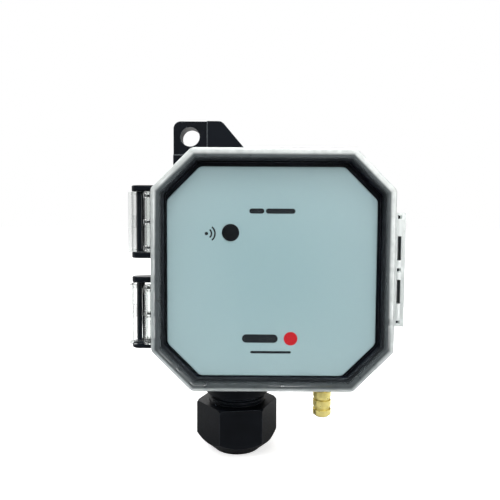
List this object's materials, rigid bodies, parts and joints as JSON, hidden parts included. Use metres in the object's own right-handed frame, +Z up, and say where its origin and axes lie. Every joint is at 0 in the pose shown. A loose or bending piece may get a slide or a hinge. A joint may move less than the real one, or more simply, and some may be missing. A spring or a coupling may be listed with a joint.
{
  "type": "differential pressure transmitter",
  "caption": "Wall-mounted differential pressure transmitter: octagonal black case, clear hinged lid with side latches, grey face plate with push button, cable gland and brass hose barbs.",
  "frame": {"origin": "centre of the octagonal case on its flat back face, which lies on the wall", "axes": "+X to the right, +Z up, and +Y into the wall, so the lid faces -Y"},
  "size_m": [0.1069, 0.05, 0.1396],
  "materials": {
    "black_abs": "fine moulded texture",
    "clear_polycarbonate": "clear moulded plastic",
    "black_rubber": "matt",
    "black_pin": "moulded",
    "grey_overlay": "satin printed film",
    "button_plastic": "satin",
    "component_plastic": "moulded",
    "switch_plunger_plastic": "moulded",
    "board_laminate": "solder resist",
    "steel_screw": "zinc plated",
    "sensor_plastic": "moulded",
    "silicone_hose": "translucent",
    "terminal_plastic": "moulded",
    "slider_plastic": "moulded",
    "shield_can": "stamped",
    "capacitor_can": "sleeved",
    "black_nylon": "satin moulded",
    "brass_turned": "bright turned"
  },
  "bodies": {
    "housing": {"base": "black_abs", "lid_gasket": "black_rubber", "hinge_pin": "black_pin", "inner_cover": "black_abs", "face_plate": "grey_overlay", "push_switch": "component_plastic", "circuit_board": "board_laminate", "board_screws": "steel_screw", "pressure_sensor": "sensor_plastic", "high_hose": "silicone_hose", "low_hose": "silicone_hose", "terminal_block": "terminal_plastic", "terminal_screws": "steel_screw", "output_switch": "component_plastic", "radio_module": "shield_can", "capacitors": "capacitor_can", "gland_washer": "black_rubber", "gland_body": "black_nylon", "gland_seal": "black_rubber", "gland_locknut": "black_nylon", "high_port": "brass_turned", "low_port": "brass_turned", "port_nuts": "brass_turned"},
    "lid": {"lid": "clear_polycarbonate", "latch_pin_upper": "clear_polycarbonate", "latch_pin_lower": "clear_polycarbonate"},
    "latch_upper": {"latch_upper": "clear_polycarbonate"},
    "latch_lower": {"latch_lower": "clear_polycarbonate"},
    "button": {"button": "button_plastic", "switch_plunger": "switch_plunger_plastic"},
    "gland_nut": {"gland_nut": "black_nylon"},
    "output_slider": {"output_slider": "slider_plastic"}
  },
  "joints": [
    {"name": "lid_hinge", "type": "hinge", "parent": "housing", "child": "lid", "pos_m": [0.0483, -0.037, 0], "axis": [0, 0, 1], "range_deg": [0, 120]},
    {"name": "latch_upper_hinge", "type": "hinge", "parent": "lid", "child": "latch_upper", "pos_m": [-0.0473, -0.0406, 0.0178], "axis": [0, 0, 1], "range_deg": [0, 90]},
    {"name": "latch_lower_hinge", "type": "hinge", "parent": "lid", "child": "latch_lower", "pos_m": [-0.0473, -0.0406, -0.0178], "axis": [0, 0, 1], "range_deg": [0, 90]},
    {"name": "button_press", "type": "slide", "parent": "housing", "child": "button", "axis": [0, 1, 0], "range_m": [0, 0.0006], "stiffness_N_per_m": 400},
    {"name": "gland_nut_turn", "type": "hinge", "parent": "housing", "child": "gland_nut", "pos_m": [-0.0136, -0.021, -0.068], "axis": [0, 0, 1], "continuous": true},
    {"name": "output_slide", "type": "slide", "parent": "housing", "child": "output_slider", "axis": [1, 0, 0], "range_m": [0, 0.002]}
  ]
}
